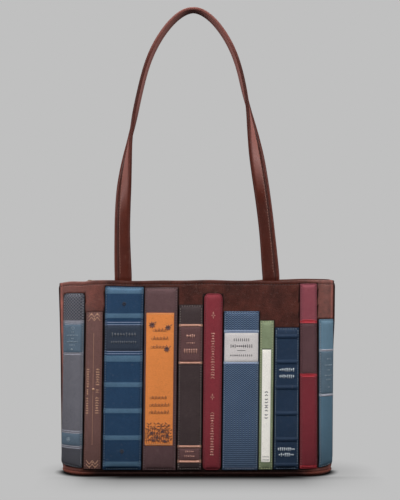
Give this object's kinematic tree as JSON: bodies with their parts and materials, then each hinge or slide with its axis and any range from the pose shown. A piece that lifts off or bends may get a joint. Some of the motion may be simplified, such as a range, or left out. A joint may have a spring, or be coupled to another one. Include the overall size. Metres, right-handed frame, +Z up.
{
  "type": "shoulder bag",
  "caption": "Zipped leather shoulder bag with a front shelf of padded leather book spines, a piped base and tall twisted shoulder straps.",
  "frame": {"origin": "middle of the bag's footprint, on the surface that it stands on", "axes": "+Z up, X across the width, the face with the book spines towards -Y"},
  "size_m": [0.3348, 0.1007, 0.5725],
  "materials": {
    "brown_leather": "pull-up leather, semi-matt",
    "facing_leather": "smooth leather, semi-matt",
    "strap_leather": "folded and stitched leather, semi-gloss",
    "piping_leather": "smooth leather over cord",
    "foam": "closed-cell foam",
    "lining": "woven cotton twill",
    "board": "grey stiffener board",
    "cord": "cotton cord",
    "zip_tape": "woven polyester tape",
    "zip_metal": "antique brass",
    "slate": "embossed leather",
    "slate_teal": "smooth leather with silver rules",
    "gilt_brown": "leather with gilt tooling",
    "wide_blue": "banded leather",
    "wide_blue_label": "smooth leather",
    "plum": "smooth leather",
    "orange": "printed leather",
    "charcoal": "scratched leather",
    "charcoal_label": "leather with copper rules",
    "dark_red": "smooth leather",
    "patterned_blue": "leather printed with a wave pattern",
    "white_label": "smooth leather",
    "green": "smooth leather",
    "ivory_label": "smooth leather",
    "navy": "leather over raised bands",
    "red": "smooth leather",
    "maroon_label": "smooth leather",
    "teal": "ribbed leather",
    "teal_label": "smooth leather"
  },
  "bodies": {
    "root": {"base_panel": "brown_leather", "base_board": "board", "base_lining": "lining", "piping_cord": "cord", "piping_cover": "piping_leather", "front_panel": "brown_leather", "back_panel": "brown_leather", "front_padding": "foam", "back_padding": "foam", "front_lining": "lining", "back_lining": "lining", "slip_pocket": "lining", "front_facing": "facing_leather", "back_facing": "facing_leather", "front_handle_ends": "strap_leather", "back_handle_ends": "strap_leather", "spine_slate": "slate", "spine_gilt_brown": "gilt_brown", "spine_wide_blue": "wide_blue", "spine_plum": "plum", "spine_charcoal": "charcoal", "spine_dark_red": "dark_red", "spine_patterned_blue": "patterned_blue", "spine_green": "green", "spine_navy": "navy", "spine_red": "red", "spine_teal": "teal", "label_slate": "slate_teal", "label_wide_blue": "wide_blue_label", "label_orange": "orange", "label_charcoal": "charcoal_label", "label_white": "white_label", "label_ivory": "ivory_label", "label_maroon": "maroon_label", "label_teal": "teal_label", "zip_end_left": "facing_leather", "zip_end_right": "facing_leather", "zip_tape_ends": "zip_tape", "zip_teeth_ends": "zip_metal", "zip_stops": "zip_metal"},
    "front_handle": {"front_handle": "strap_leather"},
    "back_handle": {"back_handle": "strap_leather"},
    "zip_front": {"zip_facing_front": "facing_leather", "zip_tape_front": "zip_tape", "zip_teeth_front": "zip_metal"},
    "zip_back": {"zip_facing_back": "facing_leather", "zip_tape_back": "zip_tape", "zip_teeth_back": "zip_metal"},
    "zip_slider": {"zip_slider": "zip_metal"},
    "zip_pull": {"zip_pull": "zip_metal"}
  },
  "joints": [
    {"name": "front_handle_fold", "type": "hinge", "parent": "root", "child": "front_handle", "pos_m": [0, -0.03713, 0.24], "axis": [1, 0, 0], "range_deg": [0, 120]},
    {"name": "back_handle_fold", "type": "hinge", "parent": "root", "child": "back_handle", "pos_m": [0, 0.03713, 0.24], "axis": [-1, 0, 0], "range_deg": [0, 120]},
    {"name": "zip_front_fold", "type": "hinge", "parent": "root", "child": "zip_front", "pos_m": [0, -0.0332, 0.2295], "axis": [-1, 0, 0], "range_deg": [0, 80]},
    {"name": "zip_back_fold", "type": "hinge", "parent": "root", "child": "zip_back", "pos_m": [0, 0.0332, 0.2295], "axis": [1, 0, 0], "range_deg": [0, 80]},
    {"name": "zip_slide", "type": "slide", "parent": "root", "child": "zip_slider", "axis": [1, 0, 0], "range_m": [0, 0.262]},
    {"name": "pull_swing", "type": "hinge", "parent": "zip_slider", "child": "zip_pull", "pos_m": [-0.1288, 0, 0.2326], "axis": [0, -1, 0], "range_deg": [0, 170]}
  ]
}
